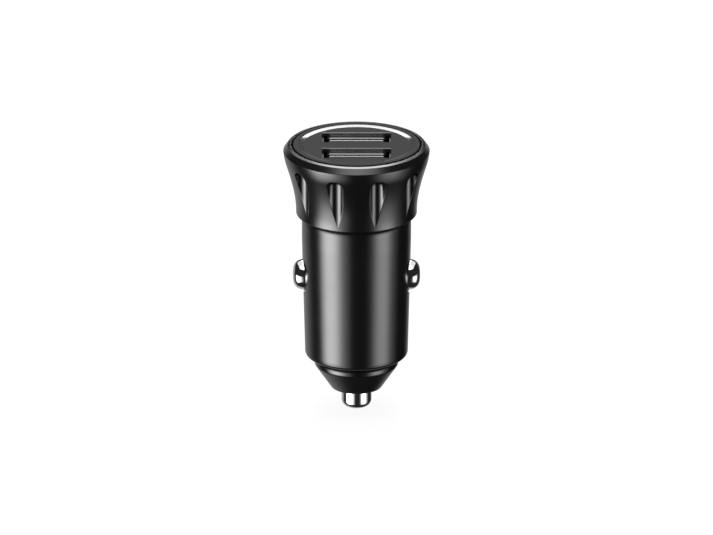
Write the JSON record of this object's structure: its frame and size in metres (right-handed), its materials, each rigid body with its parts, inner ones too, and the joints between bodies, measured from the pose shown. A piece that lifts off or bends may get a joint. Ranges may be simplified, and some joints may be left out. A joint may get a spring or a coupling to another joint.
{
  "type": "car usb charger plug",
  "caption": "Car USB charger plug with a tapered socket barrel, sprung centre and side contacts, and a fluted flared head whose dished face holds the USB sockets.",
  "frame": {"origin": "on the axis, on the shoulder where the head meets the barrel", "axes": "+Z along the axis towards the USB face, +X towards the right side contact, -Y towards the front of the face"},
  "size_m": [0.028, 0.028, 0.0535],
  "materials": {
    "housing_black": "satin gloss black moulding",
    "face_grey": "fine matte dark grey moulding",
    "contact_plating": "bright nickel plating",
    "spring_steel": "drawn wire",
    "terminal_brass": "stamped sheet",
    "port_steel": "black nickel plated sheet",
    "port_insulator": "moulded, dark grey",
    "pin_gold": "gold flashed",
    "circuit_board": "solder mask",
    "ferrite": "sintered",
    "copper_wire": "enamelled wire",
    "can_sleeve": "drawn can",
    "moulded_chip": "moulded",
    "tinned_leg": "tinned",
    "ceramic_white": "fired ceramic",
    "ceramic_tan": "fired ceramic"
  },
  "bodies": {
    "housing": {"barrel": "housing_black", "head_collar": "housing_black", "nose_cap": "housing_black", "face_plate": "face_grey", "centre_spring": "spring_steel", "spring_terminal": "terminal_brass", "usb_shell_front": "port_steel", "usb_shell_rear": "port_steel", "usb_tongue_front": "port_insulator", "usb_tongue_rear": "port_insulator", "usb_pins_front": "pin_gold", "usb_pins_rear": "pin_gold", "port_board": "circuit_board", "main_board": "circuit_board", "inductor_core": "ferrite", "inductor_winding": "copper_wire", "input_capacitor": "can_sleeve", "output_capacitor": "can_sleeve", "converter_chip": "moulded_chip", "chip_legs": "tinned_leg", "rectifier_diode": "moulded_chip", "input_fuse": "ceramic_white", "chip_resistors": "moulded_chip", "chip_capacitors": "ceramic_tan"},
    "left_contact": {"side_contact_left": "contact_plating"},
    "right_contact": {"side_contact_right": "contact_plating"},
    "plunger": {"centre_contact": "contact_plating"}
  },
  "joints": [
    {"name": "left_contact_press", "type": "hinge", "parent": "housing", "child": "left_contact", "pos_m": [-0.0075, 0, 0.0016], "axis": [0, -1, 0], "range_deg": [0, 7.6], "stiffness_Nm_per_rad": 0.25, "springref_deg": -8.59},
    {"name": "right_contact_press", "type": "hinge", "parent": "housing", "child": "right_contact", "pos_m": [0.0075, 0, 0.0016], "axis": [0, 1, 0], "range_deg": [0, 7.6], "stiffness_Nm_per_rad": 0.25, "springref_deg": -8.59},
    {"name": "centre_contact_press", "type": "slide", "parent": "housing", "child": "plunger", "axis": [0, 0, 1], "range_m": [0, 0.003], "stiffness_N_per_m": 1500, "springref_m": -0.002, "deforming": ["centre_spring"]}
  ]
}
